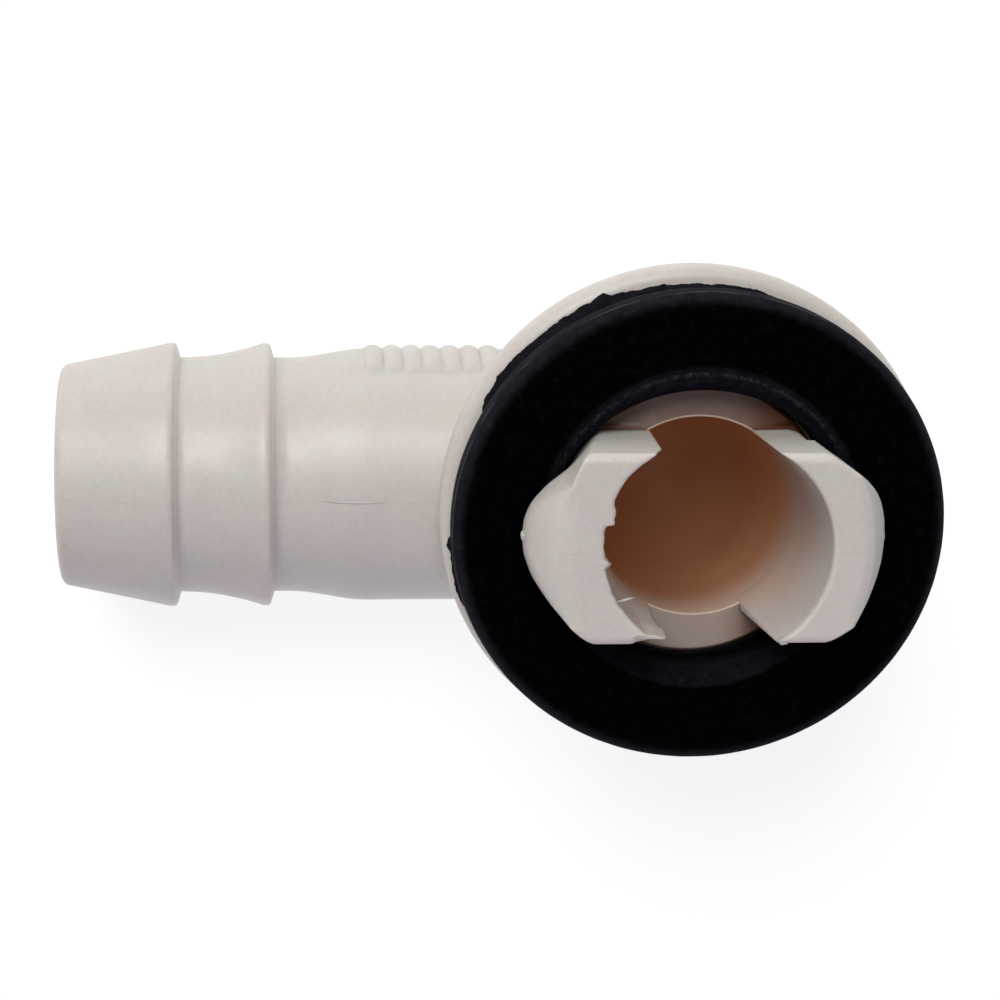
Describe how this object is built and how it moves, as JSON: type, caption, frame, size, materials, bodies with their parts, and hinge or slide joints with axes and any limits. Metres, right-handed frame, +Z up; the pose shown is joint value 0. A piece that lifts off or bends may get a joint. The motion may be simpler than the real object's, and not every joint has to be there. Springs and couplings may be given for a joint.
{
  "type": "condensate drain elbow",
  "caption": "Right-angle drain elbow with a barbed hose tail, a round flange, a snap-in spigot with hooked claws and a loose rubber sealing ring.",
  "frame": {"origin": "centre of the pan hole, on the spigot's axis, in the plane where the pan's underside rests on the seal", "axes": "+Z up the spigot, through the pan hole; -X along the hose tail, towards its open end; +Y completes the right-handed frame"},
  "size_m": [0.0587, 0.0332, 0.0319],
  "materials": {
    "moulded_plastic": "off-white moulded plastic with a soft satin sheen",
    "black_rubber": "dull black moulded rubber"
  },
  "bodies": {
    "elbow": {"elbow": "moulded_plastic"},
    "claw_left": {"claw_left": "moulded_plastic"},
    "claw_right": {"claw_right": "moulded_plastic"},
    "seal_ring": {"seal_ring": "black_rubber"}
  },
  "joints": [
    {"name": "claw_left_flex", "type": "hinge", "parent": "elbow", "child": "claw_left", "pos_m": [-0.00788, 0, -0.0149], "axis": [0, 1, 0], "range_deg": [0, 7], "stiffness_Nm_per_rad": 1.5},
    {"name": "claw_right_flex", "type": "hinge", "parent": "elbow", "child": "claw_right", "pos_m": [0.00788, 0, -0.0149], "axis": [0, -1, 0], "range_deg": [0, 7], "stiffness_Nm_per_rad": 1.5},
    {"name": "seal_ring_slide", "type": "slide", "parent": "elbow", "child": "seal_ring", "axis": [0, 0, 1], "range_m": [0, 0.001]}
  ]
}
